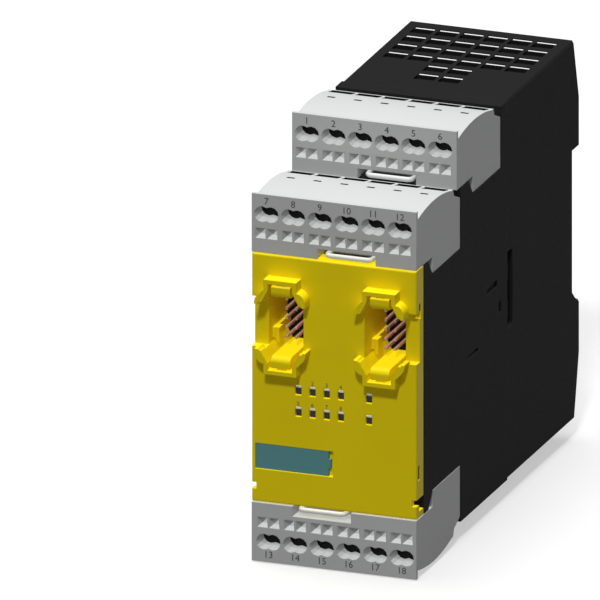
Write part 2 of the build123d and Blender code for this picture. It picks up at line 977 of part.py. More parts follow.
def front_posts():
    """Posts behind the front wall that carry the front board."""
    posts = []
    for x, height in front_post_places:
        start = cover_seam + front_wall - overlap
        hole_start = front_board_front - screw_bite
        post = rod_back(x, height, post_diameter, start, front_board_front)
        posts.append(post - rod_back(x, height, screw_shank, hole_start, front_board_front + 1))
    return posts


def front_housing():
    """Front shell with the steps and notches that take the three plugs."""
    plain = side_face(stepped_outline(False))
    notched = side_face(stepped_outline(True))
    outer = across(plain, -notch_inner, notch_inner)
    for band in both_sides(across(notched, notch_inner - notch_wall / 2, half_width)):
        outer = outer + band
    inner_half = notch_inner - notch_wall
    cavity = across(offset(plain, -front_wall, kind=Kind.INTERSECTION), -inner_half, inner_half)
    low_cavity = offset(notched, -front_wall, kind=Kind.INTERSECTION)
    cavity = cavity + across(low_cavity, -cavity_half, cavity_half)
    mouth = brick(
        -cavity_half,
        cavity_half,
        shell_seam - front_wall - 1,
        shell_seam + 1,
        base_height + front_wall,
        roof_height - front_wall,
    )
    shell = outer - cavity - mouth
    for seat in seats:
        shell = shell - [place_plug_piece(seat, slot) for slot in blade_slots()]
    start, end = cover_seam - 1, cover_seam + front_wall + 1
    for centre in socket_centres:
        shell = shell - front_prism(socket_outline(centre), socket_wall + seat_gap, start, end)
    shell = shell - window_cuts(guide_gap, start, end)
    shell = shell - side_mark_cuts()
    return shell + snap_tongues() + cover_snaps() + front_posts()


# Front cover

def socket_guide(centre):
    """Shroud, guide brackets, spring tongues and key rib of one bus socket."""
    outline = socket_outline(centre)
    shroud = front_prism(outline, socket_wall, -socket_guide_reach, socket_shroud_end)
    middle = brick(
        centre - half_width,
        centre + half_width,
        -socket_guide_reach - 1,
        0,
        socket_height - socket_flat_half,
        socket_height + socket_flat_half,
    )
    shroud = shroud - middle - front_prism(outline, 0, -socket_guide_reach - 1, socket_shroud_end + 1)
    for side in (1, -1):
        shroud = shroud + socket_tongue(centre, side)
    wall = centre - socket_half_width
    low, high = key_rib_top - key_rib_height, key_rib_top
    root, step = wall - overlap, key_rib_step
    wide = brick(root, wall + key_rib_width, key_rib_start, step, low, high)
    narrow = brick(root, wall + key_rib_narrow, step - overlap, socket_shroud_end, low, high)
    return shroud + wide + narrow


def socket_tongue(centre, side):
    """One springy tongue that hangs in the throat of the socket on a narrow neck."""
    edge = socket_half_height
    root = edge - tongue_neck
    tip = root - tongue_thickness
    front = -socket_guide_reach + tongue_setback
    half, neck_half = tongue_half_width, tongue_neck_half
    low, high = sorted((socket_height + side * tip, socket_height + side * root))
    pad = brick(centre - half, centre + half, front, tongue_back, low, high)
    pad = fillet(pad.edges().filter_by(Axis.X).group_by(Axis.Y)[0], tongue_round)
    neck_edges = (socket_height + side * (root - overlap), socket_height + side * (edge + overlap))
    low, high = sorted(neck_edges)
    return pad + brick(centre - neck_half, centre + neck_half, front + tongue_round, tongue_back, low, high)


def finger_notch(side):
    """Floor and cut of the notch that lets a bridging plug leave the socket sideways."""
    wall = socket_centre + socket_half_width
    low = socket_height - finger_notch_half
    high = socket_height + finger_notch_half
    end = finger_notch_depth + finger_notch_floor
    floor = brick(wall, plug_half, cover_face - overlap, end, low - 1, high + 1)
    cut = brick(wall - overlap, half_width + 1, -1, finger_notch_depth, low, high)
    if side < 0:
        return mirror(floor, Plane.YZ), mirror(cut, Plane.YZ)
    return floor, cut


def label_recess_cut():
    """The shallow recess for the label plate."""
    left, low, high = label_left - label_gap, label_low - label_gap, label_high + label_gap
    return brick(left, label_recess_right, -1, label_recess, low, high)


def front_cover():
    """Yellow front cover with both socket shrouds moulded on."""
    block = brick(-plug_half, plug_half, 0, cover_depth, cover_low, cover_high)
    front_edges = block.edges().group_by(Axis.Y)[0]
    block = fillet(front_edges, cover_round)
    hollow = brick(
        -plug_half + cover_rim,
        plug_half - cover_rim,
        cover_face,
        cover_depth + 1,
        cover_low + cover_rim,
        cover_high - cover_rim,
    )
    cover = block - hollow
    for side in (1, -1):
        floor, cut = finger_notch(side)
        cover = cover + floor
    for centre in socket_centres:
        cover = cover - front_prism(socket_outline(centre), 0, -1, socket_shroud_end)
        cover = cover + socket_guide(centre)
    for side in (1, -1):
        floor, cut = finger_notch(side)
        cover = cover - cut
    cover = cover - window_cuts(0, -1, cover_face + 1) - label_recess_cut()
    rim_inner = plug_half - cover_rim - overlap
    for place in (upper_slit, snap_slit):
        cover = cover - both_sides(brick(rim_inner, half_width + 1, *place))
    notch = brick(
        plug_half - cover_edge_notch_width,
        half_width + 1,
        -1,
        cover_depth + 1,
        cover_edge_notch_low,
        cover_edge_notch_low + cover_edge_notch_height,
    )
    relief = brick(
        rim_inner,
        half_width + 1,
        cover_relief_depth,
        cover_depth + 1,
        cover_relief_low,
        cover_relief_high,
    )
    return cover - both_sides(notch) - both_sides(relief)


def label_plate():
    """Blank snap-in plate with a small tab at its right end."""
    front = label_recess - label_thickness
    plate = brick(label_left, label_right, front, label_recess, label_low, label_high)
    low = (label_low + label_high - label_tab_height) / 2
    high = low + label_tab_height
    return plate + brick(label_right - overlap, label_right + label_tab, front, label_recess, low, high)


# Electronics

def header_body(centre):
    """Moulded block that holds the pins at the back of one socket."""
    end = socket_shroud_end + header_body_depth
    return front_prism(socket_outline(centre), -header_inset, socket_shroud_end, end) - header_pins(centre)


def header_pins(centre):
    """Two columns of square pins."""
    pins = []
    half = pin_size / 2
    for column in range(pin_columns):
        x = centre + (column - (pin_columns - 1) / 2) * pin_pitch
        for row in range(pin_rows):
            height = socket_height + (row - (pin_rows - 1) / 2) * pin_pitch
            low, high = height - half, height + half
            pins.append(brick(x - half, x + half, pin_tip, front_board_back + pin_tail, low, high))
    return pins


def light_guide():
    """Ten clear bars on one carrier plate, from the lamps to the front windows."""
    bars = window_cuts(-guide_gap, guide_setback, guide_end)
    margin = guide_plate_margin
    plate = brick(
        min(window_columns) - window_width / 2 - margin,
        max(window_columns) + window_width / 2 + margin,
        guide_plate_start,
        guide_plate_start + guide_plate_thickness,
        min(window_heights) - window_height / 2 - margin,
        max(window_heights) + window_height / 2 + margin,
    )
    return plate + bars


def indicator_lamps():
    """Ten small lamps on the front board, one behind each bar of the light guide."""
    lamps = []
    for x in window_columns:
        for height in window_heights:
            low, high = height - led_width / 2, height + led_width / 2
            left, right = x - led_length / 2, x + led_length / 2
            lamps.append(brick(left, right, guide_end + seat_gap, front_board_front, low, high))
    return lamps


def front_board():
    """Board behind the front wall, with the pins of both sockets and the lamps on it."""
    board = brick(
        -front_board_half_width,
        front_board_half_width,
        front_board_front,
        front_board_back,
        front_board_low,
        front_board_high,
    )
    for centre in socket_centres:
        board = board - header_pins(centre)
    start, end = front_board_front - 1, front_board_back + 1
    for x, height in front_post_places:
        board = board - rod_back(x, height, screw_shank, start, end)
    return board


def side_board(side):
    """Upright board that follows the steps of the housing."""
    drop = contact_board_reach + board_clearance
    low = base_height + shell_wall + board_clearance
    first_step = plug_depth + fit_gap + step_clearance
    second_step = roof_front + step_clearance
    points = [
        (side_board_front, side_board_low),
        (side_board_front, top_front_lip - drop),
        (first_step, top_front_lip - drop),
        (first_step, top_rear_lip - drop),
        (second_step, top_rear_lip - drop),
        (second_step, side_board_high),
        (side_board_rear, side_board_high),
        (side_board_rear, low),
        (first_step, low),
        (first_step, side_board_low),
    ]
    board = across(side_face(points), side_board_inner, side_board_outer)
    left, right = side_board_inner - 1, side_board_outer + 1
    for depth, height in side_post_places:
        board = board - rod_across(left, right, depth, height, screw_shank)
    return board if side > 0 else mirror(board, Plane.YZ)


def board_socket(side):
    """Slotted connector on the front board that takes the edge of an upright board."""
    low = side_board_inner - plug_socket_side
    high = side_board_outer + plug_socket_side
    end = front_board_back + plug_socket_depth
    body = brick(low, high, front_board_back, end, plug_socket_low, plug_socket_high)
    slot = brick(
        side_board_inner - seat_gap,
        side_board_outer + seat_gap,
        front_board_back + plug_socket_root,
        end + 1,
        plug_socket_low - 1,
        plug_socket_high + 1,
    )
    body = body - slot
    return body if side > 0 else mirror(body, Plane.YZ)


def relay_places():
    """Depth and height of each relay's lower front corner."""
    return [
        (relay_first_depth + column * relay_pitch, low)
        for low in relay_rows
        for column in range(relay_columns)
    ]


def relay(depth, height):
    """One sealed relay lying on the relay board."""
    left, end, high = -side_board_inner, depth + relay_depth, height + relay_height
    case = brick(left, left + relay_tall, depth, end, height, high)
    return chamfer(case.edges().group_by(Axis.X)[-1], relay_edge)


def relay_pins():
    """Solder tails of all relays, on the outer face of the relay board."""
    pins = []
    right = -side_board_outer
    left = right - relay_pin_tail
    for depth, height in relay_places():
        for rise in relay_pin_heights:
            low = height + rise - relay_pin_size / 2
            for share in (0.25, 0.75):
                front = depth + relay_depth * share - relay_pin_size / 2
                end, high = front + relay_pin_size, low + relay_pin_size
                pins.append(brick(left, right, front, end, low, high))
    return pins


def processors():
    """The two processors, one for each channel."""
    half = chip_side / 2
    low, high = side_board_inner - chip_thickness, side_board_inner
    return [
        brick(low, high, depth - half, depth + half, height - half, height + half)
        for depth, height in chip_places
    ]


def couplers():
    """Row of optocouplers that part the input side from the logic."""
    middle, first = coupler_place
    front, end = middle - coupler_width / 2, middle + coupler_width / 2
    left, right = side_board_inner - coupler_thickness, side_board_inner
    pieces = []
    for i in range(coupler_count):
        low = first + i * coupler_pitch
        pieces.append(brick(left, right, front, end, low, low + coupler_length))
    return pieces


def capacitors():
    """Upright electrolytic capacitors of the supply."""
    top = side_board_inner - capacitor_length
    return [
        rod_across(top, side_board_inner, depth, height, capacitor_diameter, can_sides)
        for depth, height in capacitor_places
    ]


def transformer():
    """Small transformer of the supply: a coil former between two core halves."""
    depth, height = transformer_place
    inner = side_board_inner - transformer_tall
    front, end = depth - transformer_depth / 2, depth + transformer_depth / 2
    low, high = height - transformer_height / 2, height + transformer_height / 2
    block = brick(inner, side_board_inner, front, end, low, high)
    left, right = inner + transformer_flange, side_board_inner - transformer_flange
    waist_low, waist_high = height - transformer_waist / 2, height + transformer_waist / 2
    for span in ((front - 1, front + transformer_core), (end - transformer_core, end + 1)):
        block = block - brick(left, right, *span, low - 1, waist_low)
        block = block - brick(left, right, *span, waist_high, high + 1)
    return block


def fuses():
    """Round plug-in fuses of the supply."""
    top = side_board_inner - fuse_length
    return [
        rod_across(top, side_board_inner, depth, height, fuse_diameter, can_sides)
        for depth, height in fuse_places
    ]


def board_screws():
    """Screws of the front board and of both upright boards."""
    screws = []
    tip, end = front_board_front - screw_bite, front_board_back
    for x, height in front_post_places:
        shank = rod_back(x, height, screw_shank, tip, end + overlap)
        screws.append(shank + rod_back(x, height, screw_head, end, end + screw_head_height))
    top = side_board_inner - screw_head_height
    for depth, height in side_post_places:
        shank = rod_across(side_board_inner - overlap, cavity_half, depth, height, screw_shank)
        head = rod_across(top, side_board_inner, depth, height, screw_head)
        screws += both_sides(shank + head)
    return screws


def vent_screen():
    """Pale inner screen under the roof, with a ridge standing in each vent."""
    front = vent_last_row - vent_slot - screen_margin
    top = roof_height - shell_wall
    ridge_top = roof_height - screen_ridge_drop
    half = screen_half_width
    screen = brick(-half, half, front, vent_first_row, top - screen_thickness, top)
    for row, count in enumerate(vent_rows):
        end = vent_first_row - row * vent_row_pitch - seat_gap
        start = end - vent_slot + 2 * seat_gap
        for left in vent_lefts(count):
            low, high = left + seat_gap, left + vent_length - seat_gap
            screen = screen + brick(low, high, start, end, top - overlap, ridge_top)
    return screen


# Rail latch

def latch_back(height):
    """Depth of the back of the rear shell at a height below its flat part."""
    share = (height - rear_slope_height) / (rear_flat_low - rear_slope_height)
    return rear_slope_depth + share * (overall_depth - rear_slope_depth)


def rail_latch():
    """Sliding latch with a hook for the lower edge of the rail and an eye for a screwdriver."""
    back = overall_depth - latch_back_inset
    outline = [
        (latch_front, latch_foot),
        (latch_back(latch_foot) - latch_back_inset, latch_foot),
        (back, rear_flat_low),
        (back, latch_nose_height - latch_nose_chamfer),
        (back - latch_nose_chamfer, latch_nose_height),
        (latch_nose_front, latch_nose_height),
        (latch_nose_front, lower_lip_height),
        (latch_front, lower_lip_height),
    ]
    body = across(side_face(outline), -latch_half_width, latch_half_width)
    rails = brick(
        -latch_rail_half_width,
        latch_rail_half_width,
        latch_rail_front,
        latch_rail_front + latch_rail_thickness,
        latch_rail_low,
        latch_rail_high,
    )
    front, end = latch_front - 1, overall_depth + 1
    window_low = spring_shelf_high - spring_shelf_thickness - latch_gap
    window = brick(-spring_window_half, spring_window_half, front, end, window_low, spring_window_high)
    half, low = latch_eye_half_width, latch_eye_low
    eye = brick(-half, half, front, end, low, low + latch_eye_height)
    return body + rails - window - eye


def latch_spring():
    """Coil spring that pushes the latch up against the rail, each turn an even polygon."""
    low = spring_shelf_high + seat_gap + coil_wire / 2
    high = spring_window_high - seat_gap - coil_wire / 2
    radius = (coil_diameter - coil_wire) / 2
    steps = coil_turns * coil_corners
    points = []
    for i in range(steps + 1):
        turn = radians(360 * i / coil_corners)
        rise = (high - low) * i / steps
        points.append((radius * cos(turn), radius * sin(turn), rise))
    path = Polyline(*points)
    profile = Plane(origin=path @ 0, z_dir=path % 0) * Rectangle(coil_wire * 0.9, coil_wire * 0.9)
    coil = sweep(profile, path=path, transition=Transition.RIGHT)
    return Pos(0, at_depth(coil_depth), at_height(low)) * coil


# Write every node

save("rear_housing", [rear_housing()])
save("front_housing", [front_housing()])
save("front_cover", [front_cover()])
save("label_plate", [label_plate()])
save("vent_screen", [vent_screen()])
save("rail_latch", [rail_latch()])
save("rail_latch_spring", [latch_spring()])

housing_moulding = terminal_housing()
springs = [
    clamp_spring(pole + entry_offset + shift)
    for pole in poles
    for shift in (-spring_spacing / 2, spring_spacing / 2)
]
contacts = [contact_bar(pole) for pole in poles]
blades = [plug_blade(pole) for pole in poles]
for seat in seats:
    save(f"{seat}_terminal_housing", [place_plug_piece(seat, housing_moulding)])
    save(f"{seat}_clamp_springs", [place_plug_piece(seat, spring) for spring in springs])
    save(f"{seat}_contact_bars", [place_plug_piece(seat, contact) for contact in contacts])
    save(f"{seat}_plug_blades", [place_plug_piece(seat, blade) for blade in blades])
    save(f"{seat}_contact_board", [place_plug_piece(seat, contact_board())])

for name, centre in zip(("left", "right"), socket_centres):
    save(f"{name}_socket_header", [header_body(centre)])
    save(f"{name}_socket_pins", header_pins(centre))

save("light_guide", [light_guide()])
save("indicator_lamps", indicator_lamps())
save("front_board", [front_board()])
save("relay_board", [side_board(-1)])
save("control_board", [side_board(1)])
save("relay_board_socket", [board_socket(-1)])
save("control_board_socket", [board_socket(1)])
for number, (depth, height) in enumerate(relay_places(), start=1):
    save(f"relay_{number}", [relay(depth, height)])
save("relay_pins", relay_pins())
save("processors", processors())
save("optocouplers", couplers())
save("supply_capacitors", capacitors())
save("supply_transformer", [transformer()])
save("supply_fuses", fuses())
save("board_screws", board_screws())
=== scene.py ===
import json

import bmesh
import bpy
import numpy as np
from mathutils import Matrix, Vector

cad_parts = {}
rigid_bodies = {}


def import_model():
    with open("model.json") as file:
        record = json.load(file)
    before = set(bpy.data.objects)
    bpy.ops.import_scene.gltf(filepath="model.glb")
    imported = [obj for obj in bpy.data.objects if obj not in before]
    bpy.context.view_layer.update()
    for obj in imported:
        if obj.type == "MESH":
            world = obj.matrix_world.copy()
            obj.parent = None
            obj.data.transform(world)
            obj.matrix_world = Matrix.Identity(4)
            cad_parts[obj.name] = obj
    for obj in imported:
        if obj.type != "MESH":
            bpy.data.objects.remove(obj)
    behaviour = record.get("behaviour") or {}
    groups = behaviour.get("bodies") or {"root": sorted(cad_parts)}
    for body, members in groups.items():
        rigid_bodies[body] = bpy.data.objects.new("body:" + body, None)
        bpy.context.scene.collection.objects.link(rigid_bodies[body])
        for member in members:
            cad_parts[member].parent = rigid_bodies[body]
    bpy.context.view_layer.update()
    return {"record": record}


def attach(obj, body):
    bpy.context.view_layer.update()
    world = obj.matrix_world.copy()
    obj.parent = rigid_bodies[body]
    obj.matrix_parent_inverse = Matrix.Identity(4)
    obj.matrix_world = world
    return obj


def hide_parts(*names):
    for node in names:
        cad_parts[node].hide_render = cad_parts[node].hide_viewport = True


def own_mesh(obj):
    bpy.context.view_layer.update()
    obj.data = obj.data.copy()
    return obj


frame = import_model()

# Lengths are in metres. X is across the module, -Y is its front, +Z is up.
# The frame's origin is the middle of the rail seat.
MM = 0.001
FRONT_TO_RAIL = 116.4 * MM
BASE_TO_RAIL = 58.7 * MM

# The three terminal plugs: depth of the front, height of the outer lip, and which way is out
PLUGS = {
    "top_rear": (30.1 * MM, 111.3 * MM, 1.0),
    "top_front": (0.0, 99.3 * MM, 1.0),
    "bottom": (0.0, 0.0, -1.0),
}
POLE_PITCH = 7.25 * MM
POLE_COUNT = 6
POLE_CENTRES = [(i - (POLE_COUNT - 1) / 2) * POLE_PITCH for i in range(POLE_COUNT)]
ENTRY_SHIFT = -0.275 * MM

# Printed numerals: the height is that of the digit, which fills this share of the font's size
POLE_TEXT_DROP = 1.9 * MM
POLE_TEXT_HEIGHT = 1.8 * MM
DIGIT_SHARE = 0.7
PRINT_THICKNESS = 0.04 * MM
PRINT_SINK = 0.01 * MM

# Indicator windows: four numbered columns and a single one
NUMBERED_COLUMNS = [-9.73 * MM, -5.883 * MM, -2.036 * MM, 1.811 * MM]
SINGLE_COLUMN = 9.46 * MM
WINDOW_HEIGHTS = [47.4 * MM, 41.6 * MM]
WINDOW_SIZE = (1.77 * MM, 2.7 * MM)
WINDOW_TEXT_HEIGHT = 1.1 * MM
WINDOW_TEXT_RISE = 2.15 * MM
GUIDE_GAP = 0.12 * MM
HOOD_DEPTH = (0.1 * MM, 0.75 * MM)
HOOD_HEIGHT = 0.5 * MM

# Bus sockets: tongue lips and bracket shoulders, measured from each socket's centre
SOCKET_CENTRES = (-13.45 * MM, 13.45 * MM)
SOCKET_HEIGHT = 64.8 * MM
PAD_HALF = 2.62 * MM
PAD_FRONT = -3.25 * MM
PAD_INNER = 7.9 * MM
PAD_OUTER = 11.06 * MM
PAD_ROLL = 1.7 * MM
PAD_EDGE = 0.35 * MM
PAD_END_SIZE = 0.94
PAD_BACK_UPPER = 8.06 * MM
PAD_BACK_LOWER = 13.0 * MM
EAR_START = (4.2 * MM, 7.2 * MM)
EAR_REACH = (2.65 * MM, 2.9 * MM)
EAR_ROOT = 1.0 * MM
EAR_INNER = 5.9 * MM
EAR_FOOT = 6.0 * MM
EAR_FLARE = [
    (4.4 * MM, 9.9 * MM),
    (4.6 * MM, 10.2 * MM),
    (6.2 * MM, 8.5 * MM),
    (6.8 * MM, 7.6 * MM),
    (7.05 * MM, 6.6 * MM),
    (7.05 * MM, 5.9 * MM),
    (6.1 * MM, 5.9 * MM),
    (5.9 * MM, 6.8 * MM),
]
EAR_DEPTH = (-3.7 * MM, 0.3 * MM)
EAR_EDGE = 0.25 * MM
EAR_FRONT_SIZE = 0.93
KEY_ACROSS = (-4.25 * MM, -3.29 * MM)
KEY_DEPTH = (5.14 * MM, 8.06 * MM)
KEY_HEIGHT = (-7.0 * MM, -2.94 * MM)

# Wire entries of the plugs: two round bores side by side
ENTRY_HALF = 1.2 * MM
ENTRY_RADIUS = 2.1 * MM
ENTRY_SEAT = 0.15 * MM
ENTRY_WALL = 0.16 * MM
ENTRY_DROP = 5.4 * MM
ENTRY_DEPTH = (5.4 * MM, 10.9 * MM)

# Probe slots and rear windows: half width, front and rear end, and the drops where the dark
# sleeve of painted shade starts and ends
PROBE_SLOT = (1.05 * MM, 17.0 * MM, 18.1 * MM, (1.2 * MM, 2.9 * MM))
REAR_WINDOW = (3.175 * MM, 23.6 * MM, 27.0 * MM, (2.75 * MM, 3.9 * MM))
LINING_SEAT = 0.05 * MM
LINING_WALL = 0.06 * MM

# Side slits of the cover: depth and height of each, and the place of the dark plate that paints
# the shade behind it
SIDE_SLITS = (
    ((1.95 * MM, 3.45 * MM), (71.7 * MM, 73.85 * MM)),
    ((1.25 * MM, 2.75 * MM), (26.25 * MM, 30.25 * MM)),
)
SHADE_PLACE = (21.85 * MM, 22.2 * MM)

# Pull loops of the plugs
LOOP_OFFSET = 3.6 * MM
LOOP_HALF = 6.05 * MM
LOOP_SETBACK = 0.95 * MM
LOOP_CORNER = 1.35 * MM
LOOP_BACK = 6.6 * MM
LOOP_DROP = 14.85 * MM
LOOP_RADIUS = 0.66 * MM
LOOP_SIDES = 12

# Latch spring: between its shelf and the end of the latch's window
COIL_TURNS = 5
COIL_STEPS = 32
COIL_DIAMETER = 3.4 * MM
COIL_WIRE = 0.5 * MM
COIL_DEPTH = 118.9 * MM
COIL_HEIGHTS = (21.8 * MM, 32.6 * MM)
COIL_SIDES = 10

# Steps on round stretches
QUARTER_STEPS = 8
EAR_STEPS = 12
KEYHOLE_STEPS = 16

# Finishes: noise and streak scales are per metre; a rounded edge is where the normals' product drops
GRAIN_SCALE = 2600.0
CLOUD_SCALE = 45.0
SPECKLE_SCALE = 900.0
STAIN_SCALE = 160.0
WEAVE_SCALE = 420.0
DRAWN_LENGTHWISE = (60.0, 60.0, 2200.0)
DRAWN_ALONG_Y = (2000.0, 60.0, 2000.0)
NOISE_SPAN = (0.3, 0.7)
SPECKLE_SPAN = (0.4, 0.62)
EDGE_LEAN = (0.995, 0.8)
PLASTIC_BREAK = 0.55
METAL_BREAK = 0.3
METAL_ROUND = 0.1 * MM
BUMP_DISTANCE = 0.05 * MM

# Studio: what the camera sees is pale, what lights the object is little
FLOOR_HALF = 3.0
FLOOR_GAP = 0.4 * MM
FLOOR_SEEN = (0.66, 0.66, 0.66)
FLOOR_RETURNED = (0.1, 0.1, 0.1)
WORLD_SEEN = 1.0
WORLD_RETURNED = 0.1

# Suns: where each stands, its strength, its spread in radians and whether it casts shadows
SUNS = {
    "top": ((-0.1, 0.05, 1.0), 1.4, 0.5, True),
    "fill": ((-0.1, 0.0, 1.0), 2.5, 0.5, False),
    "key": ((0.16, -0.66, 0.7), 1.3, 0.12, True),
}

# Camera: direction in which it stands, the point it looks at and the width of its frame
CAMERA_TOWARDS = (0.3235, -0.8874, 0.3284)
CAMERA_MIDDLE = (0.0, -141.8 * MM, 22.6 * MM)
CAMERA_BACK = 0.9
CAMERA_WIDTH = 153.26 * MM
CAMERA_REACH = 10.0


def at_depth(depth):
    """Y of a depth counted from the front face."""
    return depth - FRONT_TO_RAIL


def at_height(height):
    """Z of a height counted from the lowest lip."""
    return height - BASE_TO_RAIL


# Shader groups

def new_group(name, inputs, outputs):
    """An empty shader group with named float, colour and vector sockets."""
    group = bpy.data.node_groups.new(name, "ShaderNodeTree")
    for label, kind, default in inputs:
        socket = group.interface.new_socket(label, in_out="INPUT", socket_type="NodeSocket" + kind)
        if default is not None:
            socket.default_value = default
    for label, kind in outputs:
        group.interface.new_socket(label, in_out="OUTPUT", socket_type="NodeSocket" + kind)
    start = group.nodes.new("NodeGroupInput")
    end = group.nodes.new("NodeGroupOutput")
    return group, start, end


def math_node(tree, operation, first, second=None):
    """A Math node; each input is a socket or a number."""
    node = tree.nodes.new("ShaderNodeMath")
    node.operation = operation
    for index, value in enumerate((first, second)):
        if value is None:
            continue
        if isinstance(value, bpy.types.NodeSocket):
            tree.links.new(value, node.inputs[index])
        else:
            node.inputs[index].default_value = value
    return node.outputs[0]


def map_range(tree, value, low, high, out_low, out_high):
    """A clamped linear map of one value."""
    node = tree.nodes.new("ShaderNodeMapRange")
    tree.links.new(value, node.inputs["Value"])
    for label, number in (("From Min", low), ("From Max", high), ("To Min", out_low), ("To Max", out_high)):
        node.inputs[label].default_value = number
    return node.outputs["Result"]


def spread_about(tree, noise, middle, reach):
    """A noise turned into values that reach as far above as below a middle."""
    return map_range(tree, noise, *NOISE_SPAN, middle - reach, middle + reach)


def noise_node(tree, vector, scale, detail):
    """A noise pattern on object coordinates."""
    node = tree.nodes.new("ShaderNodeTexNoise")
    tree.links.new(vector, node.inputs["Vector"])
    if isinstance(scale, bpy.types.NodeSocket):
        tree.links.new(scale, node.inputs["Scale"])
    else:
        node.inputs["Scale"].default_value = scale
    node.inputs["Detail"].default_value = detail
    return node.outputs["Fac"]


def edge_group():
    """Edge mask: how far the rounded normal leans from the flat one, broken up by noise."""
    group, start, end = new_group(
        "edge_mask",
        [("Radius", "Float", 0.0003), ("Break", "Float", 0.5)],
        [("Mask", "Float"), ("Normal", "Vector")],
    )
    bevel = group.nodes.new("ShaderNodeBevel")
    bevel.samples = 6
    group.links.new(start.outputs["Radius"], bevel.inputs["Radius"])
    geometry = group.nodes.new("ShaderNodeNewGeometry")
    lean = group.nodes.new("ShaderNodeVectorMath")
    lean.operation = "DOT_PRODUCT"
    group.links.new(bevel.outputs["Normal"], lean.inputs[0])
    group.links.new(geometry.outputs["Normal"], lean.inputs[1])
    edge = map_range(group, lean.outputs["Value"], *EDGE_LEAN, 0.0, 1.0)
    place = group.nodes.new("ShaderNodeTexCoord")
    speckle = noise_node(group, place.outputs["Object"], SPECKLE_SCALE, 3.0)
    broken = map_range(group, speckle, *SPECKLE_SPAN, 0.0, 1.0)
    kept = math_node(group, "MULTIPLY", broken, start.outputs["Break"])
    solid = math_node(group, "SUBTRACT", 1.0, start.outputs["Break"])
    share = math_node(group, "ADD", kept, solid)
    group.links.new(math_node(group, "MULTIPLY", edge, share), end.inputs["Mask"])
    group.links.new(bevel.outputs["Normal"], end.inputs["Normal"])
    return group


def grain_group():
    """Moulded skin: fine spark texture for height, slow cloud for colour and roughness."""
    group, start, end = new_group(
        "moulded_skin",
        [("Grain Scale", "Float", GRAIN_SCALE), ("Cloud Scale", "Float", CLOUD_SCALE)],
        [("Height", "Float"), ("Cloud", "Float"), ("Fleck", "Float")],
    )
    place = group.nodes.new("ShaderNodeTexCoord")
    fine = noise_node(group, place.outputs["Object"], start.outputs["Grain Scale"], 2.0)
    cloud = noise_node(group, place.outputs["Object"], start.outputs["Cloud Scale"], 4.0)
    cells = group.nodes.new("ShaderNodeTexVoronoi")
    group.links.new(place.outputs["Object"], cells.inputs["Vector"])
    coarse = math_node(group, "MULTIPLY", start.outputs["Grain Scale"], 0.6)
    group.links.new(coarse, cells.inputs["Scale"])
    pits = math_node(group, "MULTIPLY", cells.outputs["Distance"], 0.5)
    height = math_node(group, "ADD", fine, pits)
    group.links.new(height, end.inputs["Height"])
    group.links.new(cloud, end.inputs["Cloud"])
    group.links.new(fine, end.inputs["Fleck"])
    return group


def brush_group():
    """Drawn or rolled metal: noise stretched along one axis."""
    group, start, end = new_group(
        "drawn_metal",
        [("Stretch", "Vector", DRAWN_LENGTHWISE)],
        [("Streak", "Float"), ("Stain", "Float")],
    )
    place = group.nodes.new("ShaderNodeTexCoord")
    scaled = group.nodes.new("ShaderNodeVectorMath")
    scaled.operation = "MULTIPLY"
    group.links.new(place.outputs["Object"], scaled.inputs[0])
    group.links.new(start.outputs["Stretch"], scaled.inputs[1])
    streak = noise_node(group, scaled.outputs["Vector"], 1.0, 3.0)
    stain = noise_node(group, place.outputs["Object"], STAIN_SCALE, 4.0)
    group.links.new(streak, end.inputs["Streak"])
    group.links.new(stain, end.inputs["Stain"])
    return group


EDGE = edge_group()
SKIN = grain_group()
BRUSH = brush_group()


def blank_material(name):
    """A node material with only its shader and output."""
    material = bpy.data.materials.new(name)
    material.use_nodes = True
    tree = material.node_tree
    return material, tree, tree.nodes["Principled BSDF"]


def shaded(colour, factor, lift=0.0):
    """A colour made darker or lighter, kept under white."""
    return tuple(min(1.0, c * factor + lift) for c in colour)


def use_group(tree, group, **values):
    """Place a shader group and set its inputs by name."""
    node = tree.nodes.new("ShaderNodeGroup")
    node.node_tree = group
    for label, value in values.items():
        node.inputs[label.replace("_", " ")].default_value = value
    return node


def mix_colours(tree, factor, first, second):
    """Blend two colours by a mask."""
    node = tree.nodes.new("ShaderNodeMix")
    node.data_type = "RGBA"
    tree.links.new(factor, node.inputs["Factor"])
    for label, value in (("A", first), ("B", second)):
        socket = [s for s in node.inputs if s.name == label and s.type == "RGBA"][0]
        if isinstance(value, bpy.types.NodeSocket):
            tree.links.new(value, socket)
        else:
            socket.default_value = (*value, 1.0)
    return [s for s in node.outputs if s.type == "RGBA"][0]


def moulded_plastic(name, colour, rough, gloss=0.5, bump=0.12, edge=1.5, cloud=0.06, round_mm=0.22):
    """Moulded plastic with a fine skin, slow colour drift, smoother edges and a painted highlight that
    makes the edges paler.
    """
    material, tree, shader = blank_material(name)
    shader.inputs["Specular IOR Level"].default_value = gloss
    skin = use_group(tree, SKIN, Grain_Scale=GRAIN_SCALE)
    edge_wear_and_sheen = use_group(tree, EDGE, Radius=round_mm * MM, Break=PLASTIC_BREAK)
    body = mix_colours(tree, skin.outputs["Cloud"], shaded(colour, 1 - cloud), shaded(colour, 1 + cloud))
    # Painted highlight: the rounded edges go halfway to a colour paler by the factor edge
    sheen_and_wear = math_node(tree, "MULTIPLY", edge_wear_and_sheen.outputs["Mask"], 0.5)
    tree.links.new(mix_colours(tree, sheen_and_wear, body, shaded(colour, edge, 0.01)), shader.inputs["Base Color"])
    drift = spread_about(tree, skin.outputs["Fleck"], rough, 0.06)
    polished = math_node(tree, "MULTIPLY", edge_wear_and_sheen.outputs["Mask"], 0.1)
    tree.links.new(math_node(tree, "SUBTRACT", drift, polished), shader.inputs["Roughness"])
    add_bump(tree, shader, skin.outputs["Height"], bump, edge_wear_and_sheen.outputs["Normal"])
    return material


